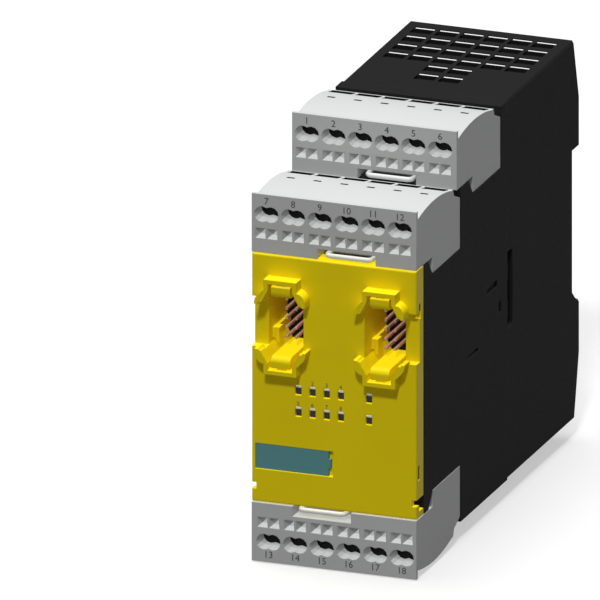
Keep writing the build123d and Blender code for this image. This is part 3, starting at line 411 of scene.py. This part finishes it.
def add_bump(tree, shader, height, strength, normal=None):
    """Bump from a height, on top of a rounded normal."""
    bump = tree.nodes.new("ShaderNodeBump")
    bump.inputs["Strength"].default_value = strength
    bump.inputs["Distance"].default_value = BUMP_DISTANCE
    tree.links.new(height, bump.inputs["Height"])
    if normal is not None:
        tree.links.new(normal, bump.inputs["Normal"])
    tree.links.new(bump.outputs["Normal"], shader.inputs["Normal"])


def drawn_metal(name, colour, rough, stretch=DRAWN_LENGTHWISE, metallic=1.0):
    """Bright metal with fine drawing streaks and a faint tarnish."""
    material, tree, shader = blank_material(name)
    shader.inputs["Metallic"].default_value = metallic
    brush = use_group(tree, BRUSH, Stretch=stretch)
    edge_wear_and_sheen = use_group(tree, EDGE, Radius=METAL_ROUND, Break=METAL_BREAK)
    body = mix_colours(tree, brush.outputs["Stain"], colour, shaded(colour, 0.8))
    # The rounded edges are drawn paler
    sheen_and_wear = mix_colours(tree, edge_wear_and_sheen.outputs["Mask"], body, shaded(colour, 1.15))
    tree.links.new(sheen_and_wear, shader.inputs["Base Color"])
    drift = spread_about(tree, brush.outputs["Streak"], rough, 0.08)
    tree.links.new(drift, shader.inputs["Roughness"])
    add_bump(tree, shader, brush.outputs["Streak"], 0.15, edge_wear_and_sheen.outputs["Normal"])
    return material


def clear_plastic(name, colour, rough):
    """Clear moulded light guide."""
    material, tree, shader = blank_material(name)
    skin = use_group(tree, SKIN, Grain_Scale=1200.0)
    shader.inputs["Transmission Weight"].default_value = 0.5
    shader.inputs["Specular IOR Level"].default_value = 0.15
    shader.inputs["IOR"].default_value = 1.49
    body = mix_colours(tree, skin.outputs["Cloud"], colour, shaded(colour, 0.94))
    tree.links.new(body, shader.inputs["Base Color"])
    drift = spread_about(tree, skin.outputs["Fleck"], rough, 0.03)
    tree.links.new(drift, shader.inputs["Roughness"])
    add_bump(tree, shader, skin.outputs["Height"], 0.03)
    return material


def board_lacquer(name, colour, rough):
    """Solder mask over glass cloth: a faint weave and traces under gloss."""
    material, tree, shader = blank_material(name)
    skin = use_group(tree, SKIN, Grain_Scale=700.0)
    tracks = tree.nodes.new("ShaderNodeTexBrick")
    place = tree.nodes.new("ShaderNodeTexCoord")
    tree.links.new(place.outputs["Object"], tracks.inputs["Vector"])
    tracks.inputs["Scale"].default_value = WEAVE_SCALE
    for label, factor in (("Color1", 1.0), ("Color2", 0.8), ("Mortar", 1.6)):
        tracks.inputs[label].default_value = (*shaded(colour, factor), 1.0)
    tracks.inputs["Mortar Size"].default_value = 0.03
    tree.links.new(tracks.outputs["Color"], shader.inputs["Base Color"])
    drift = spread_about(tree, skin.outputs["Fleck"], rough, 0.06)
    tree.links.new(drift, shader.inputs["Roughness"])
    add_bump(tree, shader, skin.outputs["Height"], 0.05)
    return material


# Moulded plastics: colour, roughness and what differs from the plain recipe; edge is the factor
# of the painted edge highlight
PLASTICS = {
    "housing_black": ((0.014, 0.014, 0.0145), 0.7, dict(gloss=0.03, edge=3.5, bump=0.1)),
    "latch_black": ((0.02, 0.02, 0.021), 0.5, dict(gloss=0.15, edge=3.0, bump=0.06)),
    "cover_yellow": ((0.82, 0.65, 0.004), 0.5, dict(gloss=0.1, edge=1.15, bump=0.08, cloud=0.03)),
    "label_grey": ((0.1, 0.27, 0.28), 0.45, dict(gloss=0.15, edge=1.3, bump=0.05)),
    "terminal_grey": ((0.49, 0.5, 0.495), 0.5, dict(gloss=0.15, edge=1.15, bump=0.08, cloud=0.03)),
    # Near black for the sleeves and plates that paint shade in hollows and slits
    "lining_dark": ((0.006, 0.006, 0.006), 0.7, dict(gloss=0.05, edge=1.5, bump=0.03)),
    # Paler than the plugs' grey: painted light on the pull loops, which sit in shade in their slots
    "loop_pale": ((0.78, 0.79, 0.78), 0.4, dict(gloss=0.3, edge=1.05, bump=0.04, cloud=0.03)),
    "screen_pale": ((0.82, 0.82, 0.8), 0.5, dict(bump=0.05, edge=1.05)),
    "socket_black": ((0.01, 0.01, 0.011), 0.5, dict(gloss=0.15, edge=3.0, bump=0.05)),
    "relay_pale": ((0.75, 0.75, 0.72), 0.35, dict(bump=0.04, edge=1.05)),
    "lamp_white": ((0.8, 0.8, 0.72), 0.3, dict(bump=0.02, edge=1.05)),
    "chip_black": ((0.015, 0.015, 0.016), 0.5, dict(edge=2.0, bump=0.1)),
    "ferrite_grey": ((0.05, 0.05, 0.055), 0.6, dict(edge=1.6, bump=0.3)),
    "fuse_brown": ((0.2, 0.07, 0.03), 0.3, dict(edge=1.3, bump=0.04)),
    "print_black": ((0.03, 0.03, 0.03), 0.55, dict(edge=1.0, bump=0.03, round_mm=0.02)),
}

# Metals: colour, roughness and what differs from the plain recipe
METALS = {
    "spring_steel": ((0.62, 0.62, 0.62), 0.3, {}),
    "contact_copper": ((0.78, 0.48, 0.3), 0.32, {}),
    "tinned_pin": ((0.72, 0.72, 0.7), 0.28, {}),
    "gilt_pin": ((0.6, 0.33, 0.32), 0.45, dict(stretch=DRAWN_ALONG_Y, metallic=0.4)),
    "capacitor_can": ((0.7, 0.7, 0.72), 0.35, {}),
    "screw_steel": ((0.55, 0.56, 0.58), 0.35, {}),
}


def all_finishes():
    """Every material of the module by its name."""
    finishes = {
        "board_green": board_lacquer("board_green", (0.02, 0.14, 0.05), 0.28),
        "guide_clear": clear_plastic("guide_clear", (0.012, 0.012, 0.014), 0.12),
    }
    for recipe, rows in ((moulded_plastic, PLASTICS), (drawn_metal, METALS)):
        for name, (colour, rough, extra) in rows.items():
            finishes[name] = recipe(name, colour, rough, **extra)
    return finishes


MATERIALS = all_finishes()


def dress_frame():
    """Give every solid of the frame its own finish."""
    for row in frame["record"]["subparts"]:
        solid = bpy.data.objects[row["node"]]
        solid.data.materials.clear()
        solid.data.materials.append(MATERIALS[row["material_slot"]])


dress_frame()


# New pieces

def mesh_piece(name, points, faces, material, body):
    """A mesh from arrays of points and faces, all facing outward, riding on a body."""
    mesh = bpy.data.meshes.new(name)
    mesh.from_pydata(points.tolist(), [], faces)
    solid = bmesh.new()
    solid.from_mesh(mesh)
    bmesh.ops.recalc_face_normals(solid, faces=solid.faces)
    solid.to_mesh(mesh)
    solid.free()
    piece = bpy.data.objects.new(name, mesh)
    bpy.context.scene.collection.objects.link(piece)
    mesh.materials.append(material)
    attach(piece, body)
    return piece


def join_meshes(parts):
    """Several (points, faces) pairs as one."""
    all_points, all_faces, start = [], [], 0
    for points, faces in parts:
        all_points.append(points)
        all_faces += [tuple(start + i for i in face) for face in faces]
        start += len(points)
    return np.vstack(all_points), all_faces


def text_points(text, height):
    """Points and faces of a closed, thin text, centred on its own middle, in the X-Y plane."""
    curve = bpy.data.curves.new("numeral", "FONT")
    curve.body = text
    curve.size = height / DIGIT_SHARE
    curve.align_x = "CENTER"
    curve.align_y = "CENTER"
    curve.extrude = PRINT_THICKNESS / 2
    curve.resolution_u = 3
    holder = bpy.data.objects.new("numeral", curve)
    mesh = bpy.data.meshes.new_from_object(holder)
    count = len(mesh.vertices)
    flat = np.empty(count * 3)
    mesh.vertices.foreach_get("co", flat)
    faces = [tuple(face.vertices) for face in mesh.polygons]
    bpy.data.objects.remove(holder)
    bpy.data.curves.remove(curve)
    bpy.data.meshes.remove(mesh)
    return flat.reshape(-1, 3), faces


def front_print(name, labels, height, body):
    """Numerals printed on a front face: each label has its text, X, Y and Z."""
    lift = PRINT_THICKNESS / 2 - PRINT_SINK
    parts = []
    for text, x, y, z in labels:
        points, faces = text_points(text, height)
        placed = np.column_stack((x + points[:, 0], y - lift - points[:, 2], z + points[:, 1]))
        parts.append((placed, faces))
    points, faces = join_meshes(parts)
    mesh_piece(name, points, faces, MATERIALS["print_black"], body)


def plug_numerals():
    """Plain running numbers over the poles of the three plugs."""
    number = 1
    for seat, (front, lip, out) in PLUGS.items():
        labels = []
        for centre in POLE_CENTRES:
            x = centre + ENTRY_SHIFT * out
            z = at_height(lip - out * POLE_TEXT_DROP)
            labels.append((str(number), x, at_depth(front), z))
            number += 1
        front_print(f"{seat}_numerals", labels, POLE_TEXT_HEIGHT, f"{seat}_plug")


def window_numerals():
    """Plain running numbers over the indicator windows."""
    windows = [(column, height) for height in WINDOW_HEIGHTS for column in NUMBERED_COLUMNS]
    labels = []
    for number, (column, height) in enumerate(windows, start=1):
        labels.append((str(number), column, at_depth(0.0), at_height(height + WINDOW_TEXT_RISE)))
    front_print("window_numerals", labels, WINDOW_TEXT_HEIGHT, "housing")


def block_mesh(blocks):
    """Points and faces of plain boxes, each given by its low and high corner.

    Each of the eight corners takes its X, Y and Z from the low or the high one.
    """
    high = np.array([(i, j, k) for i in (0, 1) for j in (0, 1) for k in (0, 1)])
    sides = np.array([(0, 1, 3, 2), (4, 6, 7, 5), (0, 4, 5, 1), (2, 3, 7, 6), (0, 2, 6, 4), (1, 5, 7, 3)])
    boxes = np.array(blocks)
    points = np.where(high, boxes[:, 1:], boxes[:, :1]).reshape(-1, 3)
    starts = len(high) * np.arange(len(boxes))
    return points, (starts[:, None, None] + sides).reshape(-1, 4).tolist()


def window_hoods():
    """A pale strip along the top of each indicator lens, just behind the cover's face."""
    half, top = WINDOW_SIZE[0] / 2 - GUIDE_GAP, WINDOW_SIZE[1] / 2 - GUIDE_GAP
    blocks = []
    for column in (*NUMBERED_COLUMNS, SINGLE_COLUMN):
        for height in WINDOW_HEIGHTS:
            low = (column - half, at_depth(HOOD_DEPTH[0]), at_height(height) + top - HOOD_HEIGHT)
            high = (column + half, at_depth(HOOD_DEPTH[1]), at_height(height) + top)
            blocks.append((low, high))
    points, faces = block_mesh(blocks)
    mesh_piece("window_hoods", points, faces, MATERIALS["lamp_white"], "housing")


def band_faces(size, first, second):
    """Faces between pairs of closed rings of a size, each face from one point to the next of both."""
    here = np.arange(size)
    after = np.roll(here, -1)
    low, high = size * np.array(first)[:, None], size * np.array(second)[:, None]
    corners = (low + here, high + here, high + after, low + after)
    return np.stack(corners, axis=-1).reshape(-1, 4).tolist()


def loft(sections):
    """Points and faces of a closed skin over equal rings of points, with flat ends."""
    count, size = len(sections), len(sections[0])
    faces = band_faces(size, range(count - 1), range(1, count))
    ends = [list(range(size)), list(range((count - 1) * size, count * size))]
    return np.array(sections).reshape(-1, 3), faces + ends


def quarter(centre, radius, start):
    """Points on a quarter circle: centre plus radius times the cosine and sine of the angle."""
    turn = np.radians(start + np.linspace(0.0, 90.0, QUARTER_STEPS + 1))
    return np.column_stack((centre[0] + radius * np.cos(turn), centre[1] + radius * np.sin(turn)))


def eased(outline, size):
    """An outline drawn in or out about its own middle."""
    middle = outline.mean(axis=0)
    return middle + (outline - middle) * size


def tongue_pad(centre, side, back):
    """Curled lip of one socket tongue: a profile with a wide front roll, drawn across the tongue."""
    front, inner, outer = PAD_FRONT, PAD_INNER, PAD_OUTER
    roll = quarter((front + PAD_ROLL, inner + PAD_ROLL), PAD_ROLL, 180.0)
    edge = quarter((front + PAD_EDGE, outer - PAD_EDGE), PAD_EDGE, 90.0)[::-1]
    profile = np.vstack((roll[::-1], edge, [[back, outer], [back, inner]]))
    inside = PAD_HALF - PAD_EDGE
    stations = ((-PAD_HALF, PAD_END_SIZE), (-inside, 1.0), (inside, 1.0), (PAD_HALF, PAD_END_SIZE))
    sections = []
    for across, size in stations:
        ring = eased(profile, size)
        height = at_height(SOCKET_HEIGHT) + side * ring[:, 1]
        x = np.full(len(ring), centre + across)
        sections.append(np.column_stack((x, at_depth(ring[:, 0]), height)))
    return loft(sections)


def round_ear():
    """Outline of a rounded shoulder: a quarter ellipse with a straight foot."""
    turn = np.radians(np.linspace(90.0, 0.0, EAR_STEPS + 1))[:, None]
    start = np.array(EAR_START)
    rim = start + np.array(EAR_REACH) * np.hstack((np.cos(turn), np.sin(turn)))
    foot = [[rim[-1, 0], EAR_FOOT], [EAR_INNER, EAR_FOOT], [start[0], start[1] + EAR_ROOT]]
    return np.vstack((rim, foot))


def guide_ear(centre, side, hand):
    """Shoulder of a guide bracket, its outline run back to the face: round, or flared with a short foot."""
    outline = round_ear() if side == hand else np.array(EAR_FLARE)
    front, back = EAR_DEPTH
    sections = []
    for depth, size in ((front, EAR_FRONT_SIZE), (front + EAR_EDGE, 1.0), (back, 1.0)):
        ring = eased(outline, size)
        y = np.full(len(ring), at_depth(depth))
        height = at_height(SOCKET_HEIGHT) + side * ring[:, 1]
        sections.append(np.column_stack((centre + hand * ring[:, 0], y, height)))
    return loft(sections)


def key_plates():
    """The upright front plate of the key rib in each socket."""
    blocks = []
    for centre in SOCKET_CENTRES:
        corners = zip(KEY_ACROSS, KEY_DEPTH, KEY_HEIGHT)
        blocks.append([(centre + x, at_depth(y), at_height(SOCKET_HEIGHT + z)) for x, y, z in corners])
    return block_mesh(blocks)


def socket_guides():
    """Curled tongue lips, bracket shoulders and key plates of both bus sockets."""
    pads, ears = [], []
    for centre in SOCKET_CENTRES:
        for side, back in ((1, PAD_BACK_UPPER), (-1, PAD_BACK_LOWER)):
            pads.append(tongue_pad(centre, side, back))
            ears += [guide_ear(centre, side, hand) for hand in (-1, 1)]
    for name, parts in (("tongue_lips", pads), ("guide_shoulders", ears), ("key_ribs", [key_plates()])):
        points, faces = join_meshes(parts)
        mesh_piece(name, points, faces, MATERIALS["cover_yellow"], "housing")


def wire_rings(path, across, up, radius, sides):
    """Rings of a round wire: path plus radius times (cosine of the angle across, plus its sine up)."""
    ring = np.linspace(0.0, 2 * np.pi, sides, endpoint=False)[None, :, None]
    return path[:, None, :] + radius * (np.cos(ring) * across[:, None, :] + np.sin(ring) * up[:, None, :])


def flat_bar(path):
    """A round bar along a level path: rings square to the path's own direction."""
    step = np.gradient(path, axis=0)
    step /= np.linalg.norm(step, axis=1)[:, None]
    across = np.column_stack((-step[:, 1], step[:, 0], np.zeros(len(path))))
    up = np.array([[0.0, 0.0, 1.0]])
    return loft(wire_rings(path, across, up, LOOP_RADIUS, LOOP_SIDES))


def loop_path(front):
    """Middle line of a pull loop from above: a leg, the front bar with quarter-circle corners, a leg."""
    left, right = LOOP_OFFSET - LOOP_HALF, LOOP_OFFSET + LOOP_HALF
    bend = front + LOOP_SETBACK + LOOP_CORNER
    turn_left = quarter((left + LOOP_CORNER, bend), LOOP_CORNER, 180.0)
    turn_right = quarter((right - LOOP_CORNER, bend), LOOP_CORNER, 270.0)
    back = front + LOOP_BACK
    return np.vstack(([[left, back]], turn_left, turn_right, [[right, back]]))


def pull_loops():
    """The rounded pull loop in the slot of each plug, in a paler grey that paints light on it."""
    for seat, (front, lip, out) in PLUGS.items():
        flat = loop_path(front)
        height = np.full(len(flat), at_height(lip - out * LOOP_DROP))
        path = np.column_stack((out * flat[:, 0], at_depth(flat[:, 1]), height))
        points, faces = flat_bar(path)
        material, body = MATERIALS["loop_pale"], f"{seat}_plug"
        smooth_mesh(mesh_piece(f"{seat}_loop", points, faces, material, body))


def keyhole(radius):
    """Two circles side by side as one outline: each arc runs from the waist round its own centre."""
    waist = np.arccos(-ENTRY_HALF / radius)
    turn = np.linspace(-waist, waist, KEYHOLE_STEPS + 1)
    right = np.column_stack((ENTRY_HALF + radius * np.cos(turn), radius * np.sin(turn)))
    return np.vstack((right, -right))


def lining(outer, inner, start, end):
    """A short tube between two outlines with as many points: points across, up and along, and faces."""
    size = len(outer)
    edges = ((outer, start), (outer, end), (inner, end), (inner, start))
    rings = [np.column_stack((outline, np.full(size, along))) for outline, along in edges]
    return np.vstack(rings), band_faces(size, (0, 1, 2, 3), (1, 2, 3, 0))


def slot_lining(half, low, high, drops):
    """Dark sleeve of painted shade in a slot seen from above: its corners set out into the wall and in from
    it.
    """
    outlines = []
    for grow in (LINING_SEAT, -LINING_WALL):
        x, front, back = half + grow, low - grow, high + grow
        outlines.append(np.array([(-x, front), (x, front), (x, back), (-x, back)]))
    return lining(*outlines, *drops)


def pole_linings(centre, front, lip, out):
    """Sleeves of painted shade for one pole: the wire entry seen from the front, both slots seen from
    above.
    """
    outer, inner = keyhole(ENTRY_RADIUS + ENTRY_SEAT), keyhole(ENTRY_RADIUS - ENTRY_WALL)
    points, faces = lining(outer, inner, *ENTRY_DEPTH)
    x = centre + ENTRY_SHIFT * out + points[:, 0]
    z = at_height(lip - out * ENTRY_DROP) + points[:, 1]
    parts = [(np.column_stack((x, at_depth(front + points[:, 2]), z)), faces)]
    for slot in (PROBE_SLOT, REAR_WINDOW):
        points, faces = slot_lining(*slot)
        z = at_height(lip - out * points[:, 2])
        parts.append((np.column_stack((centre + points[:, 0], at_depth(front + points[:, 1]), z)), faces))
    return parts


def plug_linings():
    """Dark sleeves painting shade where the clamp chambers show: entries, probe slots and rear windows."""
    for seat, (front, lip, out) in PLUGS.items():
        parts = []
        for centre in POLE_CENTRES:
            parts += pole_linings(centre, front, lip, out)
        points, faces = join_meshes(parts)
        material, body = MATERIALS["lining_dark"], f"{seat}_plug"
        mesh_piece(f"{seat}_painted_shade", points, faces, material, body)


def slit_shades():
    """Dark plates that paint the shade behind the cover's side slits, both sides alike."""
    inner, outer = SHADE_PLACE
    blocks = []
    for depths, heights in SIDE_SLITS:
        for sides in ((inner, outer), (-outer, -inner)):
            corners = zip(sides, depths, heights)
            blocks.append([(x, at_depth(depth), at_height(height)) for x, depth, height in corners])
    points, faces = block_mesh(blocks)
    mesh_piece("slit_shades", points, faces, MATERIALS["lining_dark"], "housing")


def smooth_mesh(piece):
    """Smooth shading for a piece made of one curved surface."""
    piece.data.polygons.foreach_set("use_smooth", [True] * len(piece.data.polygons))
    piece.data.update()


def helix_wire(low, high):
    """Rings of a round wire on a helix: at angle t the middle is at (r cos t, r sin t, low + rise t)."""
    turn = np.linspace(0.0, 2 * np.pi * COIL_TURNS, COIL_TURNS * COIL_STEPS + 1)
    radius = (COIL_DIAMETER - COIL_WIRE) / 2
    rise = (high - low) / turn[-1]
    out = np.column_stack((np.cos(turn), np.sin(turn), np.zeros_like(turn)))
    path = radius * out + np.column_stack((np.zeros((len(turn), 2)), low + rise * turn))
    along = np.column_stack((-np.sin(turn), np.cos(turn), np.full_like(turn, rise / radius)))
    along /= np.linalg.norm(along, axis=1)[:, None]
    return wire_rings(path, out, np.cross(along, out), COIL_WIRE / 2, COIL_SIDES)


def latch_coil():
    """The coiled latch spring, a fixed coil riding on the housing."""
    low, high = (at_height(height) for height in COIL_HEIGHTS)
    rings = helix_wire(low, high) + np.array((0.0, at_depth(COIL_DEPTH), 0.0))
    points, faces = loft(rings)
    piece = mesh_piece("latch_coil", points, faces, MATERIALS["spring_steel"], "housing")
    smooth_mesh(piece)
    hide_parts("rail_latch_spring")
    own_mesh(piece)


plug_numerals()
window_numerals()
window_hoods()
socket_guides()
pull_loops()
plug_linings()
slit_shades()
latch_coil()


# Floor, light and camera

def pale_floor():
    """A pale floor that shows white to the camera and returns little light to the object."""
    material, tree, shader = blank_material("floor_pale")
    path = tree.nodes.new("ShaderNodeLightPath")
    seen = math_node(tree, "MAXIMUM", path.outputs["Is Camera Ray"], path.outputs["Is Glossy Ray"])
    seen = math_node(tree, "MAXIMUM", seen, path.outputs["Is Transmission Ray"])
    tree.links.new(mix_colours(tree, seen, FLOOR_RETURNED, FLOOR_SEEN), shader.inputs["Base Color"])
    shader.inputs["Roughness"].default_value = 0.9
    half, level = FLOOR_HALF, at_height(0.0) - FLOOR_GAP
    corners = [(-half, -half, level), (half, -half, level), (half, half, level), (-half, half, level)]
    mesh = bpy.data.meshes.new("floor")
    mesh.from_pydata(corners, [], [(0, 1, 2, 3)])
    mesh.materials.append(material)
    floor = bpy.data.objects.new("floor", mesh)
    bpy.context.scene.collection.objects.link(floor)


def studio_world():
    """Plain ambient light; the camera sees white."""
    world = bpy.data.worlds.new("studio")
    world.use_nodes = True
    tree = world.node_tree
    back = tree.nodes["Background"]
    path = tree.nodes.new("ShaderNodeLightPath")
    strength = map_range(tree, path.outputs["Is Camera Ray"], 0.0, 1.0, WORLD_RETURNED, WORLD_SEEN)
    tree.links.new(strength, back.inputs["Strength"])
    back.inputs["Color"].default_value = (1.0, 1.0, 1.0, 1.0)
    bpy.context.scene.world = world


def studio_suns():
    """Soft suns; the one without shadows fills the bores and funnels."""
    for name, (towards, strength, spread, shadow) in SUNS.items():
        lamp = bpy.data.lights.new(name, "SUN")
        lamp.energy = strength
        lamp.angle = spread
        lamp.use_shadow = shadow
        holder = bpy.data.objects.new(name, lamp)
        bpy.context.scene.collection.objects.link(holder)
        holder.rotation_euler = Vector(towards).to_track_quat("Z", "Y").to_euler()


def photo_camera():
    """Parallel view from the right, in front and above, framed as the photograph."""
    camera = bpy.data.cameras.new("camera")
    camera.type = "ORTHO"
    camera.ortho_scale = CAMERA_WIDTH
    camera.clip_end = CAMERA_REACH
    holder = bpy.data.objects.new("camera", camera)
    bpy.context.scene.collection.objects.link(holder)
    towards = Vector(CAMERA_TOWARDS).normalized()
    holder.location = Vector(CAMERA_MIDDLE) + towards * CAMERA_BACK
    holder.rotation_euler = towards.to_track_quat("Z", "Y").to_euler()
    bpy.context.scene.camera = holder


pale_floor()
studio_world()
studio_suns()
photo_camera()
bpy.context.scene.view_settings.view_transform = "Standard"
